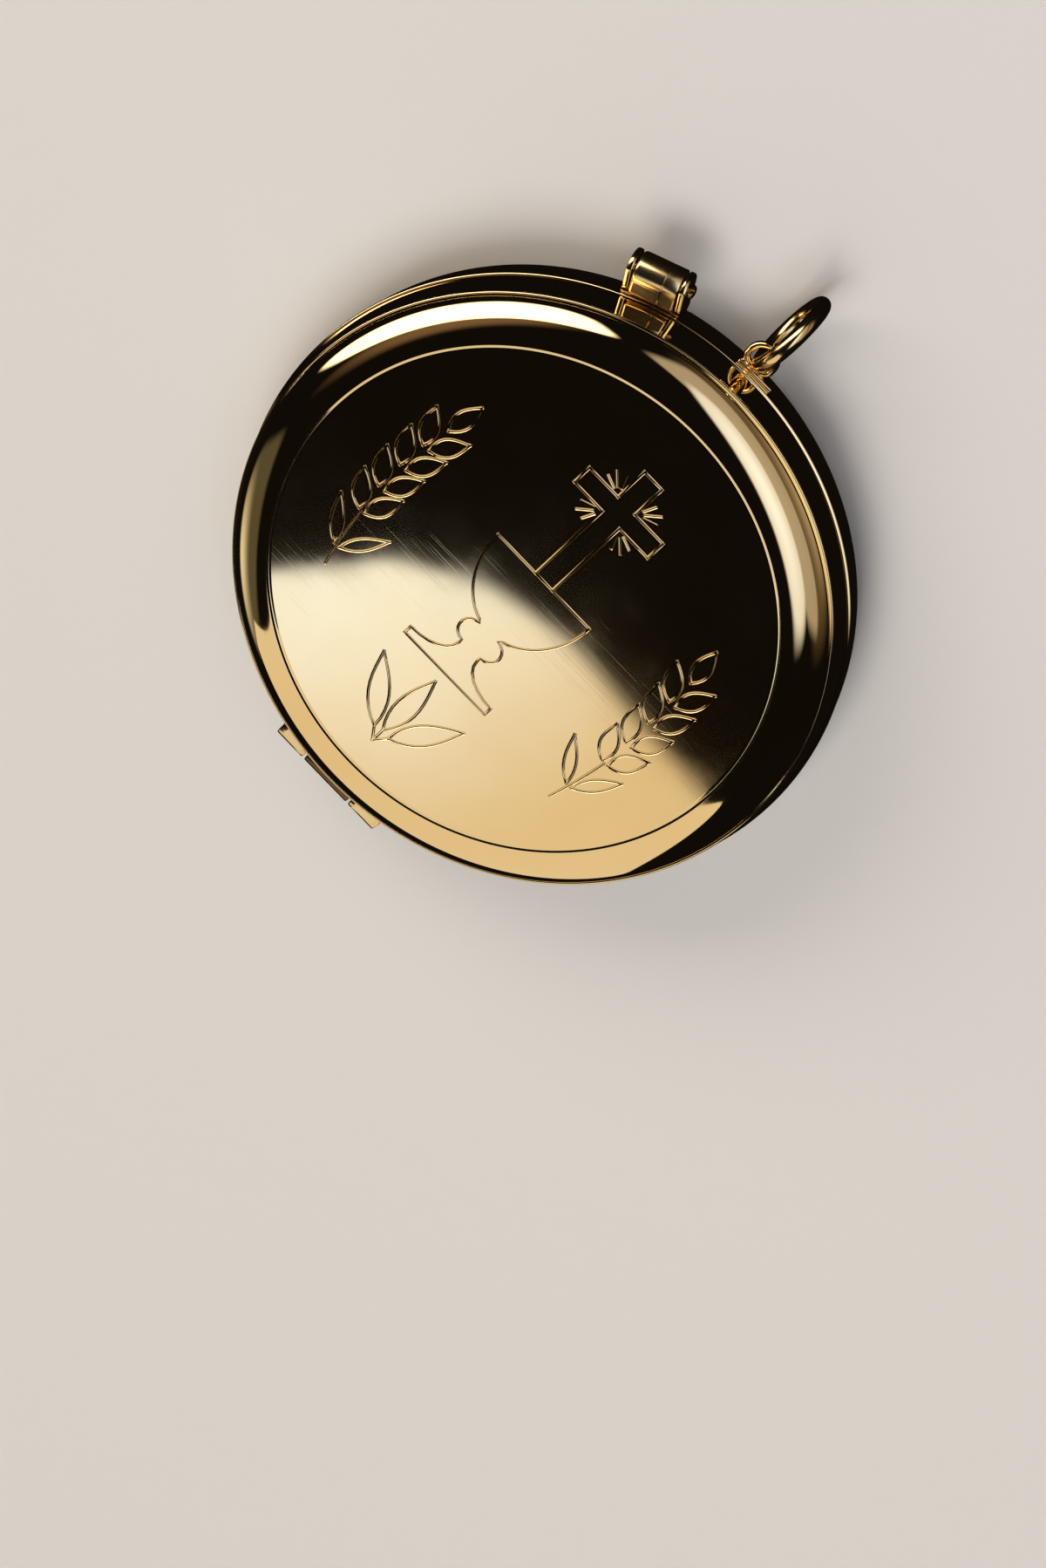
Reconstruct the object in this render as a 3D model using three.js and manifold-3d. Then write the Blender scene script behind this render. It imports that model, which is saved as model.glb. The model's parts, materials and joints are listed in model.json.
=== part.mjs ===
// A pocket ciborium, or pyx: a small round hinged case of gold plated brass that carries
// altar breads. It lies on its back here: the underside is on z = 0, the engraved lid looks
// up along +Z, the carrying ring points along +Y and the hinge is on the -Y side.
// Every length is in millimetres and every angle in degrees.

import * as THREE from 'three';
import { mergeVertices } from 'three/addons/utils/BufferGeometryUtils.js';
import Module from 'manifold-3d';

const wasm = await Module();
wasm.setup();

// Case
const caseRadius = 27;
const baseHeight = 6.1;
const lidHeight = 5.5;
const sheet = 0.65;
const lipDepth = 0.25;
const lipHeight = 0.45;
const seamGap = 0.1;
const baseCornerRadius = 4;

// Lid
const lidDraft = 0.4;
const shoulderDrop = 2;
const shoulderBeadRadius = 0.15;
const beadStart = 100;
const beadEnd = -20;
const domeStartSlope = 3;
const grooveRadius = 22.2;
const grooveWidth = 0.45;
const grooveDepth = 0.2;

// Inner collar, which the lid closes over
const collarThickness = 0.5;
const collarRise = 1.6;
const collarDepth = 2.6;
const closingClearance = 0.2;

// Fits: solder seats between curved pieces, and the running fit of a pin in its bore
const solderGap = 0.3;
const pinClearance = 0.05;

// Hinge
const knuckleRadius = 0.95;
const endKnuckleLength = 3.1;
const middleKnuckleLength = 5.2;
const knuckleGap = 0.25;
const knuckleStandOff = 0.05;
const hingePinRadius = 0.45;
const bearerThickness = 0.6;
const bearerHeight = 1.6;
const bearerOverlap = 0.33;

// Carrying ring and its eye
const bailAzimuth = -2;
const ringOuterDiameter = 8.2;
const ringWireDiameter = 1.36;
const ringPlay = 0.16;
const ringStandOff = 0.25;
const ringRestSwing = 4.4;
const ringRestTip = 5.4;
const eyeWireDiameter = 0.6;
const eyeHeight = 5.25;
const bailPlateWidth = 3.7;
const bailPlateShift = 0.5;
const bailPlateHeight = 1.6;
const bailPlateThickness = 0.25;

// Latch
const latchAzimuth = -23;
const leverRadius = 1.5;
const leverLength = 4;
const leverAxisDrop = 0.5;
const leverClearance = 0.4;
const noseDepth = 0.4;
const noseDrop = 0.3;
const noseFall = 0.25;
const noseClearance = 0.3;
const earThickness = 0.5;
const earRadius = 1.5;
const earSideGap = 0.15;
const latchPlateHeight = 3;
const latchPlateThickness = 0.3;
const latchPinRadius = 0.4;
const pinHeadRadius = 0.6;
const pinHeadThickness = 0.35;

// Fineness of the round faces
const caseSides = 72;
const domeSteps = 6;
const cornerSteps = 6;
const beadSteps = 3;
const stripSteps = 8;
const smallSides = 20;
const ringSteps = 36;
const wireSides = 12;

// Places that follow from the sizes above
const lidTop = baseHeight + lidHeight;
const wallRadius = caseRadius - lipDepth;
const baseBore = wallRadius - sheet;
const collarRadius = baseBore - solderGap;
const lidBore = collarRadius + closingClearance;
const shoulderWallRadius = wallRadius - lidDraft;
const seatRadius = wallRadius + solderGap;
const hingeAxisRadius = wallRadius + knuckleRadius + knuckleStandOff;
const hingeLength = 2 * endKnuckleLength + middleKnuckleLength + 2 * knuckleGap;
const cradleRadius = knuckleRadius + solderGap;

const radians = THREE.MathUtils.degToRad;

// Materials

function gold(color, roughness) {
  return new THREE.MeshStandardMaterial({ color, roughness, metalness: 1 });
}

// Solids and how they are joined and cut

function closed(geometry) {
  const bare = geometry.clone();
  bare.deleteAttribute('normal');
  bare.deleteAttribute('uv');
  const merged = mergeVertices(bare, 1e-5);
  const index = merged.index.array;
  const kept = [];
  for (let i = 0; i < index.length; i += 3) {
    const [a, b, c] = [index[i], index[i + 1], index[i + 2]];
    if (a !== b && b !== c && c !== a) kept.push(a, b, c);
  }
  merged.setIndex(kept);
  return merged;
}

function toSolid(geometry) {
  const shell = closed(geometry);
  return new wasm.Manifold(new wasm.Mesh({
    numProp: 3,
    vertProperties: new Float32Array(shell.attributes.position.array),
    triVerts: new Uint32Array(shell.index.array),
  }));
}

function toGeometry(solid) {
  const { vertProperties, triVerts } = solid.getMesh();
  const geometry = new THREE.BufferGeometry();
  geometry.setAttribute('position', new THREE.BufferAttribute(vertProperties, 3));
  geometry.setIndex(new THREE.BufferAttribute(triVerts, 1));
  return geometry;
}

function joined(...geometries) {
  const [first, ...others] = geometries.map(toSolid);
  return toGeometry(others.reduce((whole, piece) => whole.add(piece), first));
}

function cut(geometry, ...tools) {
  const whole = toSolid(geometry);
  return toGeometry(tools.reduce((left, tool) => left.subtract(toSolid(tool)), whole));
}

// Basic forms

// A closed outline of [radius, height] pairs, turned about +Z.
function turned(outline, sides = caseSides) {
  const points = outline.map(([radius, height]) => new THREE.Vector2(radius, height));
  return closed(new THREE.LatheGeometry(points, sides).rotateX(Math.PI / 2));
}

// An outline of [radius, position] pairs, turned about the X axis.
function turnedAlongX(outline, sides = smallSides) {
  return turned(outline, sides).rotateY(Math.PI / 2);
}

function rodAlongX(radius, length, sides = smallSides) {
  const half = length / 2;
  return turnedAlongX([[0, -half], [radius, -half], [radius, half], [0, half]], sides);
}

// The points of an arc about [radius, height], by angles measured from +Z towards the rim.
function arc([radius, height], size, from, to, steps) {
  return Array.from({ length: steps + 1 }, (_, i) => {
    const angle = radians(from + (to - from) * i / steps);
    return [radius + size * Math.sin(angle), height + size * Math.cos(angle)];
  });
}

function slab(shape, depth, curveSegments) {
  return new THREE.ExtrudeGeometry(shape, { depth, curveSegments, bevelEnabled: false });
}

// A shape drawn in the (radial, up) plane, extruded along the tangent and centred on it.
function tangentBar(shape, length) {
  const bar = slab(shape, length, smallSides).translate(0, 0, -length / 2);
  const radial = new THREE.Vector3(0, 1, 0);
  const up = new THREE.Vector3(0, 0, 1);
  const tangent = new THREE.Vector3(1, 0, 0);
  return bar.applyMatrix4(new THREE.Matrix4().makeBasis(radial, up, tangent));
}

// A strip bent round the case at +Y: a slice of a ring between two radii.
function bentStrip(innerRadius, outerRadius, width, low, high) {
  const half = Math.asin(width / 2 / outerRadius);
  const shape = new THREE.Shape();
  shape.absarc(0, 0, outerRadius, Math.PI / 2 - half, Math.PI / 2 + half, false);
  shape.absarc(0, 0, innerRadius, Math.PI / 2 + half, Math.PI / 2 - half, true);
  return slab(shape, high - low, stripSteps).translate(0, 0, low);
}

function hingeCylinder(radius, length) {
  return rodAlongX(radius, length, 2 * smallSides).translate(0, -hingeAxisRadius, baseHeight);
}

// Case pieces

function baseShell() {
  const cornerRadius = Math.max(baseCornerRadius, sheet);
  const outerCentre = [wallRadius - cornerRadius, cornerRadius];
  const outline = [
    [0, 0],
    ...arc(outerCentre, cornerRadius, 180, 90, cornerSteps),
    [wallRadius, baseHeight - seamGap],
    [baseBore, baseHeight - seamGap],
    ...arc(outerCentre, cornerRadius - sheet, 90, 180, cornerSteps),
    [0, sheet],
  ];
  return cut(turned(outline), hingeCylinder(cradleRadius, hingeLength + 2 * solderGap));
}

function innerCollar() {
  const bore = collarRadius - collarThickness;
  const low = baseHeight - collarDepth;
  const high = baseHeight + collarRise;
  return turned([[bore, low], [collarRadius, low], [collarRadius, high], [bore, high], [bore, low]]);
}

// The dome is one arc between the ring groove and the bead on the shoulder.
function domeArc() {
  const start = [grooveRadius + grooveWidth / 2, lidTop];
  const end = [shoulderWallRadius - 2 * shoulderBeadRadius, lidTop - shoulderDrop + shoulderBeadRadius];
  const run = end[0] - start[0];
  const drop = start[1] - end[1];
  const chordSlope = THREE.MathUtils.radToDeg(Math.atan2(drop, run));
  const size = Math.hypot(run, drop) / 2 / Math.sin(radians(chordSlope - domeStartSlope));
  const slope = radians(domeStartSlope);
  const centre = [start[0] - size * Math.sin(slope), start[1] - size * Math.cos(slope)];
  return { centre, size, from: domeStartSlope, to: 2 * chordSlope - domeStartSlope };
}

function lidShell() {
  const dome = domeArc();
  const insideSize = dome.size - sheet;
  const insideReach = Math.min(1, (lidBore - dome.centre[0]) / insideSize);
  const insideEnd = THREE.MathUtils.radToDeg(Math.asin(insideReach));
  const beadCentre = [shoulderWallRadius - shoulderBeadRadius, lidTop - shoulderDrop - shoulderBeadRadius];
  const outline = [
    [0, lidTop - sheet],
    ...arc(dome.centre, insideSize, 0, insideEnd, domeSteps),
    [lidBore, baseHeight],
    [caseRadius, baseHeight],
    [caseRadius, baseHeight + lipHeight - lipDepth / 2],
    [wallRadius, baseHeight + lipHeight + lipDepth / 2],
    [shoulderWallRadius, beadCentre[1] - 2 * shoulderBeadRadius],
    ...arc(beadCentre, shoulderBeadRadius, beadStart, beadEnd, beadSteps),
    ...arc(dome.centre, dome.size, dome.to, dome.from, domeSteps),
    [grooveRadius, lidTop - grooveDepth],
    [grooveRadius - grooveWidth / 2, lidTop],
    [0, lidTop],
  ];
  return cut(turned(outline), hingeCylinder(cradleRadius, hingeLength + 2 * solderGap));
}

// Hinge pieces

function hingeBearer(low, high) {
  const strip = bentStrip(seatRadius, seatRadius + bearerThickness, hingeLength, low, high);
  return cut(strip.rotateZ(Math.PI), hingeCylinder(cradleRadius, 2 * hingeLength));
}

function hingeKnuckle(length, middle) {
  const bore = (hingePinRadius + pinClearance) / Math.cos(Math.PI / smallSides);
  const half = length / 2;
  const tube = turnedAlongX([
    [bore, -half],
    [knuckleRadius, -half],
    [knuckleRadius, half],
    [bore, half],
    [bore, -half],
  ]);
  return tube.translate(middle, -hingeAxisRadius, baseHeight);
}

// Carrying ring pieces, drawn at +Y and turned to their place by their group

const bailFace = seatRadius + bailPlateThickness;
const ringWireRadius = ringWireDiameter / 2;
const ringRadius = ringOuterDiameter / 2 - ringWireRadius;
const ringPivotRadius = bailFace + ringStandOff + ringWireRadius;

function bailPlate() {
  const left = bailPlateShift - bailPlateWidth / 2;
  const right = bailPlateShift + bailPlateWidth / 2;
  const shape = new THREE.Shape();
  shape.absarc(0, 0, seatRadius, Math.acos(left / seatRadius), Math.acos(right / seatRadius), true);
  shape.lineTo(right, bailFace);
  shape.lineTo(left, bailFace);
  return slab(shape, bailPlateHeight, stripSteps).translate(0, 0, eyeHeight - bailPlateHeight / 2);
}

// The eye is a U of wire whose legs stand on the plate. The ring runs through it along Z.
function bailEye() {
  // The ring's own curve fills a little more of the hole than its wire does.
  const reach = Math.asin(Math.min(1, (eyeWireDiameter / 2 + ringWireRadius) / ringRadius));
  const bulge = ringRadius * (1 - Math.cos(reach));
  const legSpacing = ringWireRadius + bulge + ringPlay / 2 + eyeWireDiameter / 2;
  const bend = new THREE.EllipseCurve(0, ringPivotRadius, legSpacing, legSpacing, 0, Math.PI);
  const bow = bend.getPoints(wireSides).map(({ x, y }) => new THREE.Vector3(x, y + bulge, eyeHeight));
  const foot = (side) => new THREE.Vector3(side * legSpacing, bailFace, eyeHeight);
  return sweptWire([foot(1), ...bow, foot(-1)], eyeWireDiameter / 2);
}

// A wire that follows the given points, with its ends cut square to Y.
function sweptWire(stops, radius) {
  const positions = [];
  const sideways = new THREE.Vector3(0, 0, 1);
  stops.forEach((stop, i) => {
    const before = stops[Math.max(i - 1, 0)];
    const after = stops[Math.min(i + 1, stops.length - 1)];
    const ahead = after.clone().sub(before).normalize();
    const across = sideways.clone().cross(ahead);
    for (let side = 0; side < wireSides; side += 1) {
      const angle = 2 * Math.PI * side / wireSides;
      const point = stop.clone();
      point.addScaledVector(across, radius * Math.cos(angle));
      point.addScaledVector(sideways, radius * Math.sin(angle));
      positions.push(...point.toArray());
    }
  });
  const index = [];
  for (let i = 0; i < stops.length - 1; i += 1) {
    for (let side = 0; side < wireSides; side += 1) {
      const next = (side + 1) % wireSides;
      const [a, b] = [i * wireSides + side, i * wireSides + next];
      index.push(a, b, b + wireSides, a, b + wireSides, a + wireSides);
    }
  }
  const last = (stops.length - 1) * wireSides;
  for (let side = 1; side < wireSides - 1; side += 1) {
    index.push(0, side + 1, side, last, last + side, last + side + 1);
  }
  const wire = new THREE.BufferGeometry();
  wire.setAttribute('position', new THREE.Float32BufferAttribute(positions, 3));
  wire.setIndex(index);
  return wire;
}

function bailRing() {
  const ring = new THREE.TorusGeometry(ringRadius, ringWireRadius, wireSides, ringSteps);
  return closed(ring.rotateY(Math.PI / 2).translate(0, ringRadius, 0));
}

// Latch pieces, drawn at +Y and turned to their place by their group

const lipClear = caseRadius + noseClearance;
const latchFace = seatRadius + latchPlateThickness;
const leverAxisRadius = latchFace + leverClearance + leverRadius;
const leverAxisHeight = baseHeight - leverAxisDrop;
const earInside = leverLength / 2 + earSideGap;

function pinHole(radius) {
  const hole = new THREE.Path();
  const size = (radius + pinClearance) / Math.cos(Math.PI / smallSides);
  hole.absarc(leverAxisRadius, leverAxisHeight, size, 0, 2 * Math.PI, true);
  return hole;
}

function latchBracket() {
  const plateTop = baseHeight - seamGap;
  const plateLow = plateTop - latchPlateHeight;
  const width = 2 * (earInside + earThickness);
  const plate = bentStrip(seatRadius, latchFace, width, plateLow, plateTop);
  const foot = Math.sqrt(seatRadius ** 2 - (width / 2) ** 2);
  const outline = new THREE.Shape();
  outline.moveTo(foot, plateLow);
  outline.lineTo(latchFace, plateLow);
  outline.absarc(leverAxisRadius, leverAxisHeight, earRadius, -Math.PI / 3, Math.PI / 2, false);
  outline.lineTo(lipClear, plateTop);
  outline.lineTo(foot, plateTop);
  outline.holes.push(pinHole(latchPinRadius));
  const ears = [-1, 1].map((side) => {
    const ear = tangentBar(outline, earThickness);
    return ear.translate(side * (earInside + earThickness / 2), 0, 0);
  });
  return joined(plate, ...ears);
}

// The lever is a round barrel whose flat nose slopes down a little over the lip of the lid.
function latchLever() {
  const noseTop = leverAxisHeight + leverRadius - noseDrop;
  const noseAngle = Math.PI - Math.asin(Math.max(0, 1 - noseDrop / leverRadius));
  const outline = new THREE.Shape();
  outline.moveTo(lipClear, noseTop - noseFall);
  outline.lineTo(lipClear, noseTop - noseFall - noseDepth);
  outline.lineTo(leverAxisRadius - leverRadius, leverAxisHeight);
  outline.absarc(leverAxisRadius, leverAxisHeight, leverRadius, Math.PI, 2 * Math.PI + noseAngle, false);
  outline.holes.push(pinHole(latchPinRadius));
  return tangentBar(outline, leverLength);
}

function latchPin() {
  const half = earInside + earThickness + earSideGap;
  const pin = turnedAlongX([
    [0, -half],
    [latchPinRadius, -half],
    [latchPinRadius, half],
    [pinHeadRadius, half],
    [pinHeadRadius, half + pinHeadThickness],
    [0, half + pinHeadThickness],
  ]);
  return pin.translate(0, leverAxisRadius, leverAxisHeight);
}

// Assembly

function part(name, geometry, material) {
  const mesh = new THREE.Mesh(geometry, material);
  mesh.name = name;
  return mesh;
}

function caseGroup() {
  const group = new THREE.Group();
  group.add(part('base_shell', baseShell(), gold('#e6bd6a', 0.14)));
  group.add(part('inner_collar', innerCollar(), gold('#e2b765', 0.28)));
  group.add(part('lid_shell', lidShell(), gold('#ecc674', 0.08)));
  return group;
}

function hingeGroup() {
  const group = new THREE.Group();
  const bearerStart = knuckleRadius - bearerOverlap;
  const bearerEnd = bearerStart + bearerHeight;
  const endKnuckle = (middleKnuckleLength + endKnuckleLength) / 2 + knuckleGap;
  const below = hingeBearer(baseHeight - bearerEnd, baseHeight - bearerStart);
  const above = hingeBearer(baseHeight + bearerStart, baseHeight + bearerEnd);
  group.add(part('hinge_bearer_base', below, gold('#dfb25f', 0.2)));
  group.add(part('hinge_bearer_lid', above, gold('#dfb25f', 0.2)));
  group.add(part('hinge_knuckle_left', hingeKnuckle(endKnuckleLength, -endKnuckle), gold('#e6bd6a', 0.16)));
  group.add(part('hinge_knuckle_middle', hingeKnuckle(middleKnuckleLength, 0), gold('#e6bd6a', 0.16)));
  group.add(part('hinge_knuckle_right', hingeKnuckle(endKnuckleLength, endKnuckle), gold('#e6bd6a', 0.16)));
  const pin = rodAlongX(hingePinRadius, hingeLength).translate(0, -hingeAxisRadius, baseHeight);
  group.add(part('hinge_pin', pin, gold('#d6a955', 0.3)));
  return group;
}

function bailGroup() {
  const group = new THREE.Group();
  group.rotation.z = -radians(bailAzimuth);
  group.add(part('bail_plate', bailPlate(), gold('#dfb25f', 0.2)));
  group.add(part('bail_eye', bailEye(), gold('#e6bd6a', 0.14)));
  const ring = part('bail_ring', bailRing(), gold('#e6bd6a', 0.12));
  // It hangs a little to one side in its eye, and tips about the line out through the eye.
  ring.position.set(0, ringPivotRadius, eyeHeight);
  ring.rotation.set(0, radians(ringRestTip), -radians(ringRestSwing), 'ZYX');
  group.add(ring);
  return group;
}

function latchGroup() {
  const group = new THREE.Group();
  group.rotation.z = -radians(latchAzimuth);
  group.add(part('latch_bracket', latchBracket(), gold('#dfb25f', 0.18)));
  group.add(part('latch_lever', latchLever(), gold('#e6bd6a', 0.12)));
  group.add(part('latch_pin', latchPin(), gold('#d6a955', 0.25)));
  return group;
}

const ciborium = new THREE.Group();
ciborium.add(caseGroup(), hingeGroup(), bailGroup(), latchGroup());

export default ciborium;
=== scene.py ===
# %% [markdown]
# A pocket ciborium in gold plate.
# The real object is a small round case, pressed from brass sheet, hinged on one side, with a
# latch and a carrying ring on the other. Everything on it is mirror polished, so its looks come
# from clean curved meshes and from what they reflect, and much less from colour.
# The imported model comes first: it fixes every size and place, and the new pieces are modelled
# around it and ride on its bodies.

# %% Load the frame
import json
from math import asin, atan2, cos, degrees, hypot, pi, radians, sin, sqrt

import bpy
from mathutils import Matrix, Vector


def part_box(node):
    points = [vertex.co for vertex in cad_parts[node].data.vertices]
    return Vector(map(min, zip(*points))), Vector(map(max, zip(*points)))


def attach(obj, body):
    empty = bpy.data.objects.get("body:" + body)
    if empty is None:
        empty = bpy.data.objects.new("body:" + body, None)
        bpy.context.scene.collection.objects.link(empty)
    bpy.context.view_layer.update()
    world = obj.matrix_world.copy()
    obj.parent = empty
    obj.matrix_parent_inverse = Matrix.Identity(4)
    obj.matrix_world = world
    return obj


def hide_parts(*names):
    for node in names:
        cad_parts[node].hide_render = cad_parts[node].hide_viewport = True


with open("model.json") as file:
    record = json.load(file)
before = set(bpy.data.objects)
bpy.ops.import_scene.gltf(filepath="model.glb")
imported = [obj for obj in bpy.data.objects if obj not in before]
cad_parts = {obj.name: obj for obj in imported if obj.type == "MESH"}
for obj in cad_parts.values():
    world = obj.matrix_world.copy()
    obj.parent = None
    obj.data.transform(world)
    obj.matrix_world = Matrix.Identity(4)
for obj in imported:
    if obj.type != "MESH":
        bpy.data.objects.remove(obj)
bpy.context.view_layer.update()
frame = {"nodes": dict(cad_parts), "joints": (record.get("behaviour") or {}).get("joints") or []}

MM = 0.001
print("nodes:", len(frame["nodes"]))

# %% [markdown]
# Sizes.
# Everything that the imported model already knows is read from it, so that a new piece can't
# drift away from the solid that it stands for. Sizes that no box gives, such as a sheet's
# thickness or a small rounding, are named once, in metres, where they are first needed.

# %% Read the main sizes from the frame
lid_low, lid_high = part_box("lid_shell")
base_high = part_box("base_shell")[1]
collar_low, collar_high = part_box("inner_collar")
rim_radius = lid_high.x
lid_top = lid_high.z
seam_height = lid_low.z
wall_radius = base_high.x
base_top = base_high.z
collar_radius = collar_high.x
sheet = 0.65 * MM
lid_bore = collar_radius + 0.2 * MM
base_bore = wall_radius - sheet
base_corner = 4 * MM
print(f"case {rim_radius * 2 / MM:.1f} mm across and {lid_top / MM:.1f} mm high")
print(f"seam at {seam_height / MM:.2f} mm, wall radius {wall_radius / MM:.2f} mm")

# %% [markdown]
# A few hand tools.
# Blender's operators act on whatever is selected, and loading the frame leaves its nodes
# selected. So each tool first clears the selection and picks one object. Modifiers are applied
# at once, which keeps every piece a plain mesh that can be measured and exported, and so is a
# piece's own placement, because a finished piece carries its place in its mesh.


# %% Pick objects and apply modifiers
def clear_selection():
    if bpy.context.mode != "OBJECT":
        bpy.ops.object.mode_set(mode="OBJECT")
    bpy.ops.object.select_all(action="DESELECT")


def pick(obj):
    clear_selection()
    obj.select_set(True)
    bpy.context.view_layer.objects.active = obj


def apply_placement():
    bpy.ops.object.transform_apply(location=True, rotation=True, scale=True)


def modify(obj, kind, **settings):
    pick(obj)
    modifier = obj.modifiers.new(kind, kind)
    for name, value in settings.items():
        setattr(modifier, name, value)
    bpy.ops.object.modifier_apply(modifier=modifier.name)


def soften(obj, width, segments=3, angle=35):
    modify(obj, "BEVEL", width=width, segments=segments, limit_method="ANGLE",
           angle_limit=radians(angle), miter_outer="MITER_ARC", harden_normals=False)


def boolean(obj, other, operation, use_self=False):
    modify(obj, "BOOLEAN", object=other, operation=operation, solver="EXACT", use_self=use_self)
    bpy.data.objects.remove(other)


def cut_away(obj, tool, use_self=False):
    boolean(obj, tool, "DIFFERENCE", use_self)


def add_on(obj, other):
    boolean(obj, other, "UNION")


# %% [markdown]
# Drawing with a vertex.
# A turned or cut piece starts as a section. By hand, one adds a plane, merges it to a single
# vertex, and extrudes that vertex from point to point. The same moves work in code. The section
# is then spun about an axis, or filled and extruded into a plate. A spin needs its doubles
# merged and its normals recalculated, because its last step lands on its first.

# %% Draw, spin, fill and extrude
MERGE = 1e-7
ROUND_STEPS = 256


def draw(name, points):
    clear_selection()
    bpy.ops.mesh.primitive_plane_add(size=MM)
    obj = bpy.context.object
    obj.name = name
    obj.data.name = name
    points = [Vector(p) for p in points]
    bpy.ops.object.mode_set(mode="EDIT")
    bpy.ops.mesh.select_all(action="SELECT")
    bpy.ops.mesh.merge(type="CENTER")
    bpy.ops.transform.translate(value=points[0])
    for before, after in zip(points, points[1:]):
        bpy.ops.mesh.extrude_vertices_move(TRANSFORM_OT_translate={"value": after - before})
    bpy.ops.mesh.select_all(action="SELECT")
    return obj


def tidy_mesh():
    bpy.ops.mesh.select_all(action="SELECT")
    bpy.ops.mesh.remove_doubles(threshold=MERGE)
    bpy.ops.mesh.normals_make_consistent(inside=False)
    bpy.ops.object.mode_set(mode="OBJECT")


def turn(name, points, centre=(0, 0, 0), axis=(0, 0, 1), steps=ROUND_STEPS):
    obj = draw(name, points)
    bpy.ops.mesh.spin(steps=steps, angle=2 * pi, center=centre, axis=axis)
    bpy.ops.mesh.select_all(action="SELECT")
    bpy.ops.mesh.remove_doubles(threshold=MERGE)
    bpy.ops.mesh.fill_holes(sides=0)
    tidy_mesh()
    return obj


def filled(name, points):
    obj = draw(name, [*points, points[0]])
    bpy.ops.mesh.remove_doubles(threshold=MERGE)
    bpy.ops.mesh.select_all(action="SELECT")
    bpy.ops.mesh.edge_face_add()
    return obj


def slab(name, points, thickness):
    obj = filled(name, points)
    bpy.ops.mesh.extrude_region_move(TRANSFORM_OT_translate={"value": Vector(thickness)})
    tidy_mesh()
    return obj


# Even steps from one angle to another, given in degrees and returned in radians.
def sweep(start, end, steps):
    return [radians(start + (end - start) * i / steps) for i in range(steps + 1)]


# An arc in the (radius, height) plane, with angles measured from straight up towards the rim.
def arc(centre, size, start, end, steps):
    return [(centre[0] + size * sin(a), centre[1] + size * cos(a))
            for a in sweep(start, end, steps)]


def upright(section):
    return [(radius, 0, height) for radius, height in section]


def triangles(obj):
    return sum(len(p.vertices) - 2 for p in obj.data.polygons)


# %% [markdown]
# The lid.
# The real lid is one pressing: a flat disc with an incised ring, a border that curves down to a
# small bead on the shoulder, and a wall that flares to a bright lip at the seam. Every one of
# these breaks the reflections in its own way, so each is drawn in the section: rounded edges on
# the ring groove, a dark nick above the bead, a soft fillet under it. One spin then makes the
# lid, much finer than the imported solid.

# %% Draw the lid's section
groove_radius = 22.2 * MM
groove_cut = 0.9 * MM
groove_lift = 0.87 * MM
groove_edge = 0.04 * MM
groove_half = sqrt((groove_cut + groove_edge) ** 2 - (groove_lift + groove_edge) ** 2)
shoulder_drop = 2 * MM
bead_radius = 0.15 * MM
shoulder_wall = wall_radius - 0.4 * MM
lip_height = 0.45 * MM
lip_rounding = 0.16 * MM
lip_chamfer = 0.1 * MM
dome_start_slope = 3


def dome_arc():
    start = (groove_radius + groove_half, lid_top)
    end = (shoulder_wall - 2 * bead_radius, lid_top - shoulder_drop + bead_radius)
    run, drop = end[0] - start[0], start[1] - end[1]
    chord = degrees(atan2(drop, run))
    size = hypot(run, drop) / 2 / sin(radians(chord - dome_start_slope))
    slope = radians(dome_start_slope)
    centre = (start[0] - size * sin(slope), start[1] - size * cos(slope))
    return centre, size, 2 * chord - dome_start_slope


# The groove's round bottom, with a small rounding where it meets the face on each side.
def groove_arcs():
    lean = degrees(atan2(groove_half, groove_lift + groove_edge))
    edge_height = lid_top - groove_edge
    return [
        *arc((groove_radius + groove_half, edge_height), groove_edge, 0, -lean, 4),
        *arc((groove_radius, lid_top + groove_lift), groove_cut, 180 - lean, 180 + lean, 14)[1:],
        *arc((groove_radius - groove_half, edge_height), groove_edge, lean, 0, 4)[1:],
    ]


# The wall leaves the lip in a small hollow and meets the bead in a soft fillet.
def lid_wall(bead):
    lip_root = seam_height + lip_height
    return [
        (wall_radius + 0.03 * MM, lip_root + 0.04 * MM),
        (wall_radius - 0.02 * MM, lip_root + 0.16 * MM),
        (shoulder_wall + 0.04 * MM, bead[1] - 3 * bead_radius),
        (shoulder_wall - 0.01 * MM, bead[1] - 1.7 * bead_radius),
        (shoulder_wall - 0.03 * MM, bead[1] - 1.1 * bead_radius),
    ]


# Inside first, from the middle to the seam, and then back up the outside.
def lid_section():
    centre, size, end_slope = dome_arc()
    inside_slope = degrees(asin((lid_bore - centre[0]) / (size - sheet)))
    bead = (shoulder_wall - bead_radius, lid_top - shoulder_drop - bead_radius)
    nick = (bead[0] - 1.25 * bead_radius, bead[1] + 0.75 * bead_radius)
    lip_out = (rim_radius - lip_rounding, seam_height + lip_rounding)
    lip_up = (rim_radius - lip_rounding, seam_height + lip_height - lip_rounding)
    return [
        (centre[0], lid_top - sheet),
        *arc(centre, size - sheet, 1, inside_slope, 16),
        (lid_bore, seam_height + lip_chamfer),
        (lid_bore + lip_chamfer, seam_height),
        *arc(lip_out, lip_rounding, 180, 90, 6),
        *arc(lip_up, lip_rounding, 90, 10, 6),
        *lid_wall(bead),
        *arc(bead, bead_radius, 120, -30, 10),
        nick,
        *arc(centre, size, end_slope - 1, dome_start_slope, 36)[:-1],
        *groove_arcs(),
    ]


lid = turn("lid_plated", upright(lid_section()))
print("lid:", triangles(lid), "triangles,", f"{lid.dimensions.x / MM:.2f} mm across")

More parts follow.
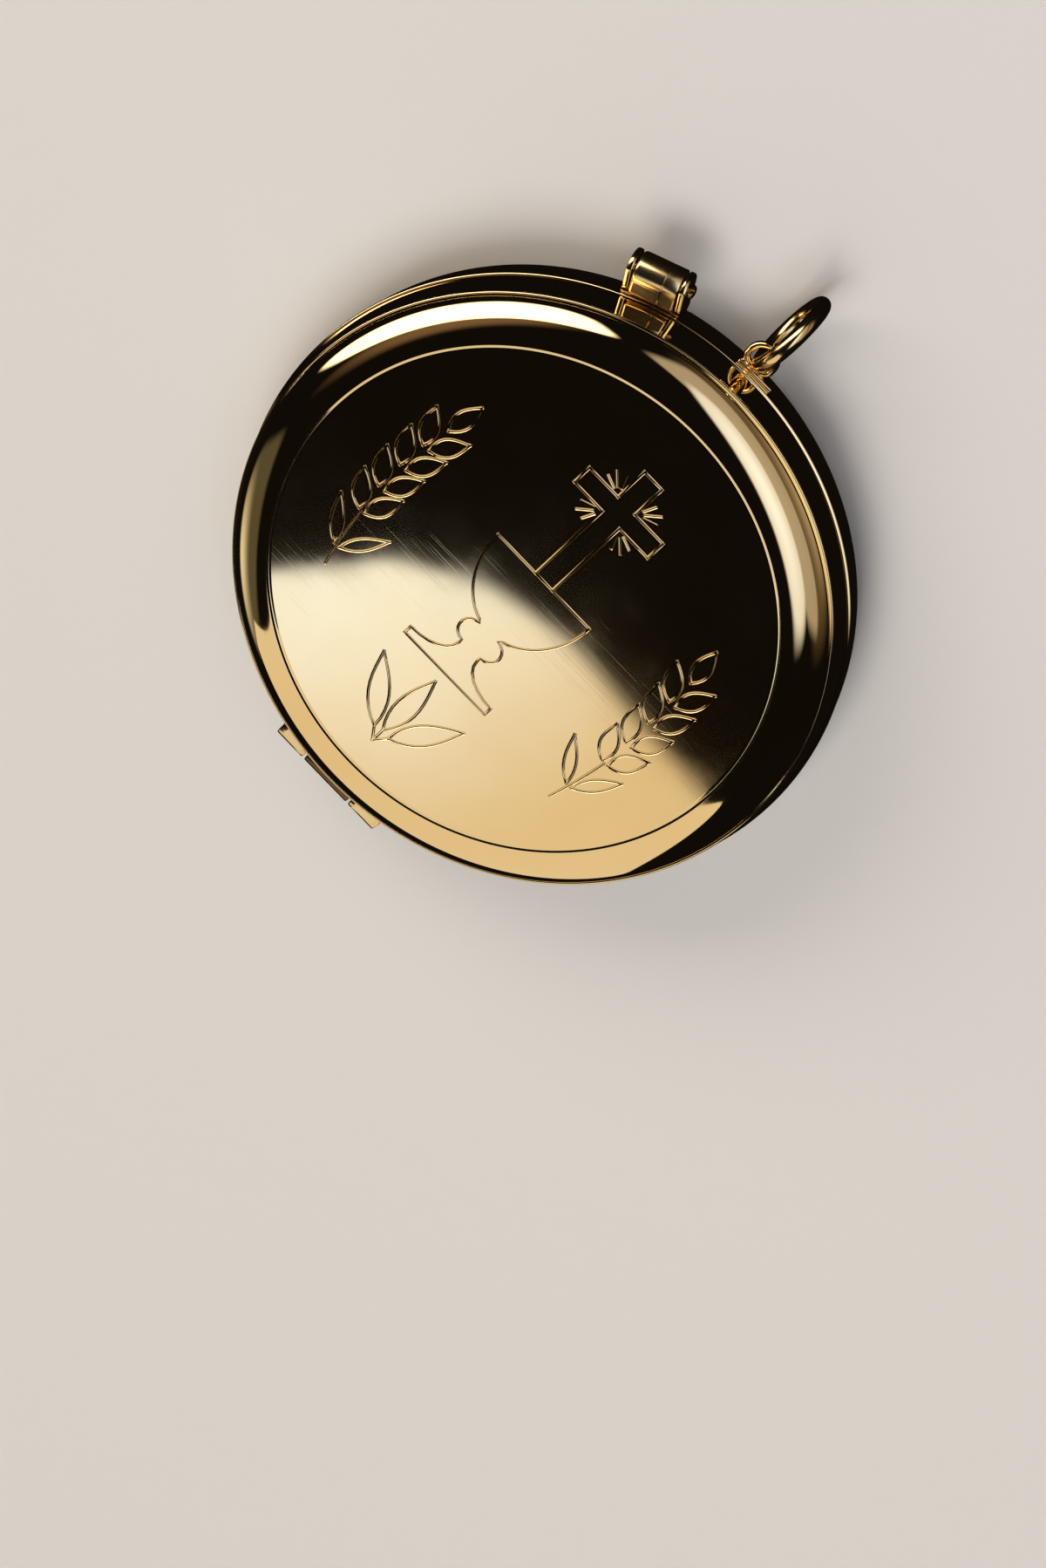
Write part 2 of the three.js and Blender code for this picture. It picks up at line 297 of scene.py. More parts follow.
# %% [markdown]
# The base.
# The lower half is a plain cup with a wide rounded edge and a flat back. Its rim is a little
# rounded on both sides, because a plated edge is never sharp.


# %% Spin the base
def base_section():
    centre = (wall_radius - base_corner, base_corner)
    rounding = 0.12 * MM
    outer_rim = (wall_radius - rounding, base_top - rounding)
    inner_rim = (base_bore + rounding, base_top - rounding)
    return [
        *arc(centre, base_corner, 180, 90, 32),
        *arc(outer_rim, rounding, 90, 0, 5),
        *arc(inner_rim, rounding, 0, -90, 5),
        *arc(centre, base_corner - sheet, 90, 180, 24),
    ]


base = turn("base_plated", upright(base_section()))
print("base:", triangles(base), "triangles")

# %% [markdown]
# The collar.
# A thin ring stands inside the base, and the lid closes over it. Its top edge is rounded so that
# the lid finds its way, and a low seam of solder holds it to the base's wall. It shows only with
# the lid open, and then it is what the eye sees first, so it is as fine as the outside.


# %% Spin the collar with its solder seam
# The solder runs up the base's wall, with a hollow top, and bites into the wall a little.
def solder_seam():
    top = base_top - 0.2 * MM
    low = base_top - 1.6 * MM
    bite = base_bore + 0.05 * MM
    return [
        (collar_radius, low),
        (bite, low + 0.1 * MM),
        (bite, top),
        (base_bore - 0.14 * MM, top - 0.09 * MM),
        (collar_radius + 0.05 * MM, top - 0.03 * MM),
        (collar_radius, top + 0.08 * MM),
    ]


def collar_section():
    thickness = 0.5 * MM
    chamfer = 0.1 * MM
    rounding = thickness / 2
    bore = collar_radius - thickness
    return [
        (bore, collar_low.z + chamfer),
        (bore + chamfer, collar_low.z),
        (collar_radius - chamfer, collar_low.z),
        (collar_radius, collar_low.z + chamfer),
        *solder_seam(),
        *arc((collar_radius - rounding, collar_high.z - rounding), rounding, 90, -90, 12),
        (bore, collar_low.z + chamfer),
    ]


collar = turn("collar_plated", upright(collar_section()))
print("collar:", triangles(collar), "triangles")

# %% [markdown]
# The hinge.
# Three short tubes are soldered in turn to the base and to the lid, and a pin runs through them.
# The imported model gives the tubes' ends and the pin's line. A shallow cradle is cut in both
# shells to make room for them, as on the real case, where the lip stops beside the hinge.

# %% Turn the knuckles and the pin
pin_low, pin_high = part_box("hinge_pin")
hinge_line = Vector((0, (pin_low.y + pin_high.y) / 2, (pin_low.z + pin_high.z) / 2))
hinge_half = pin_high.x
pin_radius = (pin_high.z - pin_low.z) / 2
pin_play = 0.05 * MM
knuckle_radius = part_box("hinge_knuckle_middle")[1].z - hinge_line.z
knuckle_rounding = 0.14 * MM
hinge_steps = 72


# Turns a section of (x, radius) points about a line along X.
def turn_across(name, section, line, steps):
    points = [(x, line[1], line[2] + r) for x, r in section]
    return turn(name, points, centre=line, axis=(1, 0, 0), steps=steps)


def knuckle(name, low, high):
    bore = pin_radius + pin_play
    start, end = low + knuckle_rounding, high - knuckle_rounding
    shoulder = knuckle_radius - knuckle_rounding
    section = [
        (start, bore),
        *arc((start, shoulder), knuckle_rounding, -90, 0, 2),
        *arc((end, shoulder), knuckle_rounding, 0, 90, 2),
        (end, bore),
        (start, bore),
    ]
    return turn_across(name, section, hinge_line, hinge_steps)


knuckles = {}
for side in ("left", "middle", "right"):
    low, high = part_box(f"hinge_knuckle_{side}")
    knuckles[side] = knuckle(f"knuckle_{side}_plated", low.x, high.x)
    print(side, "knuckle:", f"{(high.x - low.x) / MM:.1f} mm long")


def hinge_pin_section():
    reach, dome = hinge_half, 0.12 * MM
    end = [(reach - dome + dome * sin(a), pin_radius * cos(a)) for a in (pi / 4, pi / 2)]
    start = [(-x, r) for x, r in reversed(end)]
    return [*start, (-reach + dome, pin_radius), (reach - dome, pin_radius), *end]


hinge_pin = turn_across("hinge_pin_plated", hinge_pin_section(), hinge_line, hinge_steps)
print("hinge pin:", f"{2 * pin_radius / MM:.1f} mm thick,", triangles(hinge_pin), "triangles")

# %% [markdown]
# The hinge's bearers.
# A strip bent round the wall carries each set of knuckles. It is a short stretch of a ring, so
# its section is filled and spun through a part of a turn, and then cut to the knuckles' round.
# The strips reach into the wall, because the real ones are soldered to it.

# %% Bend the bearers
base_strip_seat = wall_radius - 0.25 * MM
lid_strip_seat = shoulder_wall - 0.2 * MM
knuckle_seat = knuckle_radius - 0.05 * MM
strip_rounding = 0.1 * MM
strip_steps = 24
cradle_sides = 96


# A rod along X, to cut a round seat or a bore with.
def rod(name, radius, length, place, sides):
    clear_selection()
    bpy.ops.mesh.primitive_cylinder_add(vertices=sides, radius=radius, depth=length,
                                        location=place, rotation=(0, pi / 2, 0))
    tool = bpy.context.object
    tool.name = name
    apply_placement()
    return tool


# The spin turns clockwise, so the section starts at the strip's far end.
def bent_strip(name, inner, outer, low, high, width, facing):
    half = asin(width / 2 / outer)
    start = facing + half
    section = [(inner, low), (outer, low), (outer, high), (inner, high)]
    obj = filled(name, [(r * cos(start), r * sin(start), z) for r, z in section])
    bpy.ops.mesh.spin(steps=strip_steps, angle=2 * half, center=(0, 0, 0), axis=(0, 0, 1))
    tidy_mesh()
    return obj


def bearer(name, node, seat):
    low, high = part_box(node)
    strip = bent_strip(name, seat, -low.y, low.z, high.z, high.x - low.x, -pi / 2)
    cut_away(strip, rod("cradle", knuckle_seat, 3 * hinge_half, hinge_line, cradle_sides))
    soften(strip, strip_rounding)
    return strip


base_bearer = bearer("bearer_base_plated", "hinge_bearer_base", base_strip_seat)
lid_bearer = bearer("bearer_lid_plated", "hinge_bearer_lid", lid_strip_seat)
print("bearers:", triangles(base_bearer) + triangles(lid_bearer), "triangles")

# %% [markdown]
# The slope and the cradle.
# Between its ends the lid's strip is filed to a slope, clear of the middle tube, and only the two
# ends keep a flat top, which catches the light. A block tilted by half a right angle does the
# filing. A wider rod along the hinge then makes room for the tubes in both shells.

# %% File the lid's bearer and cut the cradle
slope_length = 6.4 * MM
slope_clearance = 0.33 * MM
strip_thickness = 0.6 * MM
file_size = 3 * MM
cradle_radius = knuckle_radius + 0.3 * MM
cradle_length = 2 * hinge_half + 0.6 * MM


# A block turned about X, to file or to slit with.
def block(name, size, tilt, place):
    clear_selection()
    bpy.ops.mesh.primitive_cube_add(size=1)
    tool = bpy.context.object
    tool.name = name
    tool.dimensions = size
    tool.rotation_euler = (tilt, 0, 0)
    tool.location = place
    apply_placement()
    return tool


def file_slope(strip, node):
    middle_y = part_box(node)[0].y + strip_thickness / 2
    middle = Vector((0, middle_y, hinge_line.z + knuckle_radius + slope_clearance))
    place = middle + Vector((0, -1, 1)).normalized() * file_size / 2
    cut_away(strip, block("file", (slope_length, file_size, file_size), pi / 4, place))


file_slope(lid_bearer, "hinge_bearer_lid")
for shell in (base, lid):
    cut_away(shell, rod("cradle", cradle_radius, cradle_length, hinge_line, cradle_sides))
    print(shell.name, "after the cradle:", triangles(shell), "triangles")

# %% [markdown]
# Wires.
# The eye is an oval loop of wire that hugs the carrying ring, with its inner end on a pad. A mesh
# line becomes a curve, the curve gets a round bevel, and the result becomes a mesh again: that is
# the shortest way from a path to a clean round wire. The same tool makes the lines that the
# engraver's burin follows.


# %% Sweep a wire along a path
def wire(name, points, radius, resolution, closed=False):
    path = [*points, points[0]] if closed else points
    obj = draw(name, path)
    bpy.ops.mesh.remove_doubles(threshold=MERGE)
    bpy.ops.object.mode_set(mode="OBJECT")
    pick(obj)
    bpy.ops.object.convert(target="CURVE")
    obj = bpy.context.object
    obj.data.dimensions = "3D"
    obj.data.bevel_depth = radius
    obj.data.bevel_resolution = resolution
    obj.data.use_fill_caps = True
    bpy.ops.object.convert(target="MESH")
    obj = bpy.context.object
    bpy.ops.object.mode_set(mode="EDIT")
    tidy_mesh()
    return obj


def turn_about_case(obj, angle):
    pick(obj)
    obj.rotation_euler = (0, 0, angle)
    apply_placement()


ring_pivot = Vector(next(j for j in frame["joints"] if j["name"] == "ring_swing")["pos_m"])
bail_turn = atan2(-ring_pivot.x, ring_pivot.y)
eye_low, eye_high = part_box("bail_eye")
plate_low, plate_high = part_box("bail_plate")
eye_height = (eye_low.z + eye_high.z) / 2
eye_wire = (eye_high.z - eye_low.z) / 2
leg_spacing = (eye_high.x - eye_low.x) / 2 - eye_wire
bow_centre = (eye_high.y - eye_wire - leg_spacing) / cos(bail_turn)
pad_seat = wall_radius + 0.3 * MM
pad_face = pad_seat + 0.25 * MM
print(f"eye: {2 * (leg_spacing + eye_wire) / MM:.2f} mm wide")


# The loop's outer half is a round bow, and its inner half a flatter bend that starts in the pad.
def loop_path():
    root_depth = 0.75 * MM
    root_centre = pad_face - 0.1 * MM + root_depth
    path = []
    for angle in range(0, 360, 6):
        middle, depth = (bow_centre, leg_spacing) if angle <= 180 else (root_centre, root_depth)
        turned = radians(angle)
        path.append((leg_spacing * cos(turned), middle + depth * sin(turned), eye_height))
    return path


eye = wire("eye_plated", loop_path(), eye_wire, closed=True, resolution=10)
print("eye:", triangles(eye), "triangles")

# %% [markdown]
# Solder under the eye.
# Where the loop meets the pad, solder has run round it and set in a low pool. Without it the
# wire would look stuck on. The pool is a ball, flattened and joined to the loop. The pad itself
# has a flat face and a back that follows the wall.

# %% Add the solder and the pad
pool_size = (0.95, 0.14, 0.55)
pad_rounding = 0.16 * MM
pad_steps = 16


# The ball has a radius of a millimetre, so its scale is the pool's half size in millimetres.
def solder_pool():
    clear_selection()
    bpy.ops.mesh.primitive_uv_sphere_add(segments=48, ring_count=24, radius=MM,
                                         location=(0, pad_face, eye_height))
    pool = bpy.context.object
    pool.name = "solder"
    pool.scale = pool_size
    apply_placement()
    return pool


add_on(eye, solder_pool())
turn_about_case(eye, bail_turn)


def bail_pad():
    half = (plate_high.x - plate_low.x) / 2
    middle = (plate_high.x + plate_low.x) / 2 + pad_face * sin(bail_turn)
    left, right = middle - half, middle + half
    seat = wall_radius - 0.15 * MM
    start, end = asin(right / seat), asin(left / seat)
    curve = [start + (end - start) * i / pad_steps for i in range(pad_steps + 1)]
    back = [(seat * sin(a), seat * cos(a), plate_low.z) for a in curve]
    outline = [*back, (left, pad_face, plate_low.z), (right, pad_face, plate_low.z)]
    pad = slab("bail_pad_plated", outline, (0, 0, plate_high.z - plate_low.z))
    soften(pad, pad_rounding)
    turn_about_case(pad, bail_turn)
    return pad


pad = bail_pad()
print("pad:", triangles(pad), "triangles")

# %% [markdown]
# The carrying ring.
# A ring of round wire hangs in the eye, tipped a little to one side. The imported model's box gives
# its middle and its size, once the tip is allowed for. A circle of the wire's size is set at the
# ring's own radius and spun about the ring's middle.

# %% Spin the ring
ring_low, ring_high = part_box("bail_ring")
ring_middle = (ring_low + ring_high) / 2
ring_radius = (ring_middle - ring_pivot).length
outwards = (ring_middle - ring_pivot).normalized()
ring_tip = radians(5.4)
ring_wire = (ring_high.z - ring_low.z) / 2 - ring_radius * cos(ring_tip)


def carrying_ring():
    aside = Vector((outwards.y, -outwards.x, 0))
    straight_up = Vector((0, 0, 1))
    across = aside * cos(ring_tip) - straight_up * sin(ring_tip)
    ring_up = straight_up * cos(ring_tip) + aside * sin(ring_tip)
    clear_selection()
    bpy.ops.mesh.primitive_circle_add(vertices=48, radius=ring_wire)
    ring = bpy.context.object
    ring.name = "ring_plated"
    place = Matrix.Translation(ring_middle + outwards * ring_radius)
    turned = Matrix((across, outwards, ring_up)).transposed().to_4x4()
    ring.matrix_world = place @ turned
    apply_placement()
    bpy.ops.object.mode_set(mode="EDIT")
    bpy.ops.mesh.select_all(action="SELECT")
    bpy.ops.mesh.spin(steps=128, angle=2 * pi, center=ring_middle, axis=across)
    tidy_mesh()
    return ring


ring = carrying_ring()
print("ring:", triangles(ring), "triangles,",
      f"{2 * (ring_radius + ring_wire) / MM:.1f} mm across")

# %% [markdown]
# The latch.
# A bracket with two ears is soldered under the seam. Between its ears a barrel turns on a rivet,
# and the barrel's flat nose snaps over the lid's lip. Here the nose stops just clear of the lip,
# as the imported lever's does. All of it is drawn straight ahead on +Y, where a radius is simply y,
# and then turned round the case to its own place.

# %% Measure the latch
latch_pivot = next(j for j in frame["joints"] if j["name"] == "latch_pivot")
latch_point = Vector(latch_pivot["pos_m"])
latch_turn = atan2(-latch_point.x, latch_point.y)
barrel_place = hypot(latch_point.x, latch_point.y)
barrel_height = latch_point.z
barrel_line = (0, barrel_place, barrel_height)
barrel_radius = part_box("latch_lever")[1].z - barrel_height
lever_half = 2 * MM
ear_inside = lever_half + 0.15 * MM
ear_thickness = 0.5 * MM
ear_radius = 1.5 * MM
pin_hole = 0.45 * MM
rivet_radius = 0.4 * MM
nose_tip = rim_radius + 0.3 * MM
nose_depth = 0.4 * MM
nose_drop = 0.3 * MM
nose_fall = 0.25 * MM
nose_top = barrel_height + barrel_radius - nose_drop
nose_root = asin(1 - nose_drop / barrel_radius)
latch_seat = wall_radius + 0.3 * MM
latch_face = latch_seat + 0.3 * MM
bracket_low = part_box("latch_bracket")[0].z
bore_sides = 64
print(f"latch: {degrees(latch_turn):.1f} degrees round from +Y,",
      f"barrel radius {barrel_radius / MM:.2f} mm")


def around_barrel(size, start, end, steps):
    return [(barrel_place + size * cos(a), barrel_height + size * sin(a))
            for a in sweep(start, end, steps)]


def across_latch(name, outline, low, high):
    points = [(low, y, z) for y, z in outline]
    return slab(name, points, (high - low, 0, 0))


# Bevels the edges that lie in one plane across the latch, such as one end of the barrel.
def round_end(obj, place, width, segments):
    pick(obj)
    bpy.ops.object.mode_set(mode="EDIT")
    bpy.ops.mesh.select_all(action="DESELECT")
    bpy.ops.object.mode_set(mode="OBJECT")
    for edge in obj.data.edges:
        ends = [obj.data.vertices[i].co.x for i in edge.vertices]
        edge.select = all(abs(x - place) < MERGE for x in ends)
    bpy.ops.object.mode_set(mode="EDIT")
    bpy.ops.mesh.select_mode(type="EDGE")
    bpy.ops.mesh.bevel(offset=width, segments=segments, affect="EDGES")
    bpy.ops.mesh.select_mode(type="VERT")
    bpy.ops.object.mode_set(mode="OBJECT")


# %% [markdown]
# The lever.
# The barrel and its nose are one solid bar, with a fine slit round it near the rivet's head. The
# outline is filled and extruded across the latch. Each end is beveled on its own, because the
# plain end is rounder than the one at the head. The slit is a thin ring and a thin block that
# are taken away.

# %% Cut the lever
plain_end_rounding = 0.3 * MM
head_end_rounding = 0.14 * MM
lever_rounding = 0.08 * MM
slit_width = 0.12 * MM
slit_depth = 0.3 * MM
slit_place = 0.67 * MM
nose_slit = 0.4 * MM
slit_steps = 64


def barrel_sliver():
    half = slit_width / 2
    outer, inner = barrel_radius + slit_depth, barrel_radius - slit_depth
    section = [(-half, inner), (half, inner), (half, outer), (-half, outer), (-half, inner)]
    return turn_across("sliver", section, barrel_line, slit_steps)


# The sliver is tilted like the top of the nose, which falls from its root to its tip.
def nose_sliver():
    run = barrel_place - barrel_radius * cos(nose_root) - nose_tip
    place = (0, nose_tip, nose_top - nose_fall)
    return block("sliver", (slit_width, 2 * run, nose_slit), atan2(nose_fall, run), place)


def latch_lever():
    outline = [
        (nose_tip, nose_top - nose_fall),
        (nose_tip, nose_top - nose_fall - nose_depth),
        *around_barrel(barrel_radius, 180, 540 - degrees(nose_root), 80),
    ]
    lever = across_latch("lever_plated", outline, -lever_half, lever_half)
    round_end(lever, -lever_half, plain_end_rounding, 5)
    round_end(lever, lever_half, head_end_rounding, 2)
    soften(lever, lever_rounding, angle=50)
    for sliver in (barrel_sliver(), nose_sliver()):
        sliver.location.x = slit_place
        cut_away(lever, sliver)
    cut_away(lever, rod("bore", pin_hole, 4 * lever_half, barrel_line, bore_sides))
    turn_about_case(lever, latch_turn)
    return lever


lever = latch_lever()
print("lever:", triangles(lever), "triangles")

# %% [markdown]
# The bracket.
# A strip bent round the wall carries an ear at each side of the lever. An ear's outline runs
# round the barrel's own middle. Each ear gets its rounded edges before it joins the strip,
# because a bevel on the joined solid would break the corners between them as well.

# %% Build the bracket
ear_end_rounding = 0.2 * MM
ear_rounding = 0.06 * MM


def latch_bracket():
    top = base_top - 0.02 * MM
    half = ear_inside + ear_thickness
    seat = wall_radius - 0.2 * MM
    bracket = bent_strip("bracket_plated", seat, latch_face, bracket_low, top, 2 * half, pi / 2)
    outline = [
        (seat, bracket_low),
        (latch_face, bracket_low),
        *around_barrel(ear_radius, -60, 90, 36),
        (nose_tip, top),
        (seat, top),
    ]
    for side in (-1, 1):
        low, high = sorted((side * ear_inside, side * half))
        ear = across_latch("ear", outline, low, high)
        round_end(ear, side * half, ear_end_rounding, 2)
        soften(ear, ear_rounding, segments=2, angle=50)
        add_on(bracket, ear)
    cut_away(bracket, rod("bore", pin_hole, 4 * half, barrel_line, bore_sides))
    turn_about_case(bracket, latch_turn)
    return bracket


bracket = latch_bracket()
print("bracket:", triangles(bracket), "triangles")

# %% [markdown]
# The rivet.
# It has a plain, slightly rounded end and a wider head with a low dome. Its section is drawn
# from the plain end to the head and then turned, as the hinge pin's was.

# %% Turn the rivet
rivet_steps = 48


def latch_rivet():
    reach = ear_inside + ear_thickness
    head, dome = 0.6 * MM, 0.2 * MM
    length = 0.5 * MM
    section = [
        (-reach - 0.15 * MM, 0),
        (-reach - 0.13 * MM, 0.6 * rivet_radius),
        (-reach - 0.04 * MM, 0.95 * rivet_radius),
        (-reach, rivet_radius),
        (reach + 0.02 * MM, rivet_radius),
        (reach + 0.04 * MM, head - 0.06 * MM),
        (reach + 0.1 * MM, head),
        (reach + length - dome, head),
        (reach + length - 0.3 * dome, 0.75 * head),
        (reach + length, 0.35 * head),
        (reach + length, 0),
    ]
    rivet = turn_across("rivet_plated", section, barrel_line, rivet_steps)
    turn_about_case(rivet, latch_turn)
    return rivet


rivet = latch_rivet()
print("rivet:", triangles(rivet), "triangles")

# %% [markdown]
# The engraving.
# The lid is engraved in single lines a little under 0.3 mm wide, which outline the figures and
# leave them flat inside. The design here is a generic one: a small rayed cross over a cup,
# between two ears of wheat, with three leaves below. Each line is a wire laid a little above the
# lid's face. Cutting all the wires away at once leaves real grooves with round bottoms, and the
# two sides of a groove catch the light on their own. The figures are mirrored about the middle,
# so only their right half is drawn, and a mirror modifier makes the left. The drawing's measures
# are in millimetres from the lid's middle, with y towards the carrying ring.

# %% Lay one line of the burin
burin = 0.17 * MM
burin_lift = 0.09 * MM
overrun = 0.15


# A line runs on a little at both ends, so that two lines that meet make a full corner.
def stroke(points):
    points = [Vector(p) for p in points]
    start = (points[0] - points[1]).normalized() * overrun
    end = (points[-1] - points[-2]).normalized() * overrun
    path = [points[0] + start, *points[1:-1], points[-1] + end]
    laid = [(p.x * MM, p.y * MM, lid_top + burin_lift) for p in path]
    return wire("stroke", laid, burin, resolution=8)


def straight_lines(points):
    return [stroke(pair) for pair in zip(points, points[1:])]


# Two curved lines from root to tip, which are widest apart a little before halfway.
def leaf(root, direction, length, width):
    steps, belly = 9, 0.85
    ahead = Vector((cos(direction), sin(direction)))
    aside = Vector((-ahead.y, ahead.x))
    strokes = []
    for side in (1, -1):
        path = []
        for i in range(steps + 1):
            swell = side * sin(pi * (i / steps) ** belly) * width / 2
            path.append(Vector(root) + ahead * (i / steps * length) + aside * swell)
        strokes.append(stroke(path))
    return strokes


def polar(angle, size):
    return Vector((cos(angle), sin(angle))) * size


# %% [markdown]
# The cross and the cup.
# Both are alike on either side, so half of each is drawn. The cross is straight lines from corner
# to corner, with three short rays in each corner of its arms. The cup's side is a single line
# that runs down the bowl, round the knop and out over the foot.

# %% Draw the cross, its rays and the cup
cross_bar, cross_arm, cross_head = 1.0, 4.3, 16.8
arm_low, arm_high = 11.6, 13.5
long_ray, short_ray, ray_spread = (0.9, 2.2), (0.85, 1.9), 0.4
cup_rim, cup_width, cup_depth = 3.2, 5.4, 7.0
cup_foot, foot_reach = -9.6, 4.8
stem, knop_height, knop_size = 1.1, -5.0, 1.15
foot_top, foot_edge = -6.6, -8.8


def cross_side():
    lower = straight_lines([(cross_bar, cup_rim), (cross_bar, arm_low), (cross_arm, arm_low)])
    upper = straight_lines([(cross_arm, arm_high), (cross_bar, arm_high), (cross_bar, cross_head)])
    return [*lower, *upper, stroke([(cross_arm, arm_low), (cross_arm, arm_high)])]


def rays():
    strokes = []
    for height, facing in ((arm_high, pi / 4), (arm_low, -pi / 4)):
        corner = Vector((cross_bar, height))
        for lean, ends in ((0, long_ray), (ray_spread, short_ray), (-ray_spread, short_ray)):
            strokes.append(stroke([corner + polar(facing + lean, end) for end in ends]))
    return strokes


def cup_side():
    bowl = [(cup_width * cos(a), cup_rim - cup_depth * sin(a)) for a in sweep(0, 75, 15)]
    knop = arc((stem, knop_height), knop_size, 0, 180, 9)
    foot_width, foot_fall = foot_reach - stem, foot_top - foot_edge
    foot = [(foot_reach - foot_width * cos(a), foot_top - foot_fall * sin(a))
            for a in sweep(0, 90, 6)]
    edge = [(foot_reach, foot_edge), (foot_reach, cup_foot)]
    return [stroke([*bowl, *knop, *foot]), stroke(edge)]


# %% [markdown]
# The ears of wheat.
# A stalk bows outwards beside the cup. Pairs of grains stand off it, each a small leaf leaning
# away from the stalk, with one more grain at the tip and two long blades at the foot.

# %% Draw an ear of wheat
ear_place, ear_curve = 14.8, 90
stalk_foot, stalk_step, stalk_points = -10.5, 1.18, 6
grain_heights = (-4.5, -1.7, 1.1, 3.9)
grain_length, grain_width, grain_lean, grain_offset = 3.7, 1.6, radians(28), 0.35
tip_height, tip_width, tip_lean = 6.5, 1.5, 0.14
blade_height, blade_length, blade_width = -8.5, 4.6, 1.1
blade_lean, blade_offset = radians(34), 0.3


def on_stalk(height):
    return Vector((ear_place - height ** 2 / ear_curve, height))


def wheat_ear():
    strokes = [stroke([on_stalk(stalk_foot + i * stalk_step) for i in range(stalk_points)])]
    for height in grain_heights:
        along = pi / 2 + 2 * height / ear_curve
        for side in (1, -1):
            root = on_stalk(height) + Vector((-grain_offset * side, 0))
            strokes += leaf(root, along + side * grain_lean, grain_length, grain_width)
    strokes += leaf(on_stalk(tip_height), pi / 2 + tip_lean, grain_length, tip_width)
    for side in (1, -1):
        root = on_stalk(blade_height) + Vector((-blade_offset * side, 0))
        strokes += leaf(root, pi / 2 + side * blade_lean, blade_length, blade_width)
    return strokes


# %% [markdown]
# The fan and the cut.
# Three leaves stand in a fan below the cup, one upright and one to either side. Then every line
# is joined to the others, and a single boolean cuts them all. The lines overlap where they meet,
# so it is told to expect a tool that meets itself.

# %% Draw the leaf fan and cut the design into the lid
fan_root, fan_stem = Vector((0, -19.2)), 1.4
fan_leaf, fan_width, fan_lean = 7.0, 1.9, radians(55)


def fan_blade(angle):
    start = fan_root + polar(angle, fan_stem)
    return [stroke([fan_root, start]), *leaf(start, angle, fan_leaf, fan_width)]


def join(strokes):
    clear_selection()
    for item in strokes:
        item.select_set(True)
    bpy.context.view_layer.objects.active = strokes[0]
    bpy.ops.object.join()
    return bpy.context.object


def engraving():
    right = [*cross_side(), *rays(), *cup_side(), *wheat_ear(), *fan_blade(fan_lean)]
    tool = join(right)
    modify(tool, "MIRROR", use_mirror_merge=False)
    middle = [
        stroke([(-cross_bar, cross_head), (cross_bar, cross_head)]),
        stroke([(-cup_width, cup_rim), (cup_width, cup_rim)]),
        stroke([(-foot_reach, cup_foot), (foot_reach, cup_foot)]),
        *fan_blade(radians(90)),
    ]
    print("burin lines:", 2 * len(right) + len(middle))
    return join([tool, *middle])


cut_away(lid, engraving(), use_self=True)
print("engraved lid:", triangles(lid), "triangles")

# %% [markdown]
# Gold plate.
# Polished gold has almost no colour of its own: it tints what it reflects. So the material is a
# metal with a pale warm base colour and a low roughness, and its life comes from three small
# things. Pressed sheet is never quite flat, which bends the edge of a reflection. Polishing
# leaves fine crossed scratches. Handling leaves faint smears where the gloss is a little duller.
# The hinge's middle tube is given a dark brown base colour. That is painted shade, which stands in
# for the darkness it shows between the bright end tubes.


# %% Wire up small groups of nodes
def new_material(name):
    material = bpy.data.materials.new(name)
    material.use_nodes = True
    return material


def add_node(tree, kind, **inputs):
    node = tree.nodes.new(kind)
    for name, value in inputs.items():
        node.inputs[name].default_value = value
    return node


def noise(tree, place, scale, detail, roughness=0.5):
    node = add_node(tree, "ShaderNodeTexNoise", Scale=scale, Detail=detail, Roughness=roughness)
    tree.links.new(place, node.inputs["Vector"])
    return node.outputs["Fac"]


# Maps a value from one range to another, and holds it at the new range's ends.
def remap(tree, value, old_range, new_range, curve="LINEAR"):
    node = tree.nodes.new("ShaderNodeMapRange")
    node.interpolation_type = curve
    limits = zip(("From Min", "From Max", "To Min", "To Max"), (*old_range, *new_range))
    for name, limit in limits:
        node.inputs[name].default_value = limit
    tree.links.new(value, node.inputs["Value"])
    return node.outputs["Result"]


def combine(tree, operation, first, second):
    node = tree.nodes.new("ShaderNodeMath")
    node.operation = operation
    tree.links.new(first, node.inputs[0])
    if isinstance(second, float):
        node.inputs[1].default_value = second
    else:
        tree.links.new(second, node.inputs[1])
    return node.outputs["Value"]


def bump(tree, height, distance, below=None):
    node = add_node(tree, "ShaderNodeBump", Strength=1, Distance=distance)
    tree.links.new(height, node.inputs["Height"])
    if below is not None:
        tree.links.new(below, node.inputs["Normal"])
    return node.outputs["Normal"]


# %% [markdown]
# What every gold finish shares.
# A noise's scale counts its patches in a metre. The smears are patches of about 6 mm, the tint
# drifts over about 14 mm, and a scratch is a noise drawn out some 250 times longer than it is
# wide. Two sets of scratches cross, and a patchy noise lets them fade in and out.

# %% Make the gold materials
smear_scale, smear_range, smear_dulling = 160, (0.45, 0.75), 0.018
tint_scale, tint_range, deeper_tint = 70, (0.3, 0.62), (0.97, 0.92, 0.84)
patch_scale = 120
scratch_edge = 0.08
scratch_sets = [
    {"turn_by": 0, "length_scale": 60, "width_scale": 15000, "threshold": 0.66},
    {"turn_by": 90, "length_scale": 75, "width_scale": 17000, "threshold": 0.68},
]


def smeared(tree, place, roughness):
    smear = noise(tree, place, smear_scale, 4, 0.6)
    return remap(tree, smear, smear_range, (roughness, roughness + smear_dulling))


def tinted(tree, place, color):
    tint = tree.nodes.new("ShaderNodeValToRGB")
    deeper = [channel * share for channel, share in zip(color, deeper_tint)]
    for stop, shade, position in zip(tint.color_ramp.elements, (deeper, color), tint_range):
        stop.color = (*shade, 1)
        stop.position = position
    tree.links.new(noise(tree, place, tint_scale, 3), tint.inputs["Fac"])
    return tint.outputs["Color"]


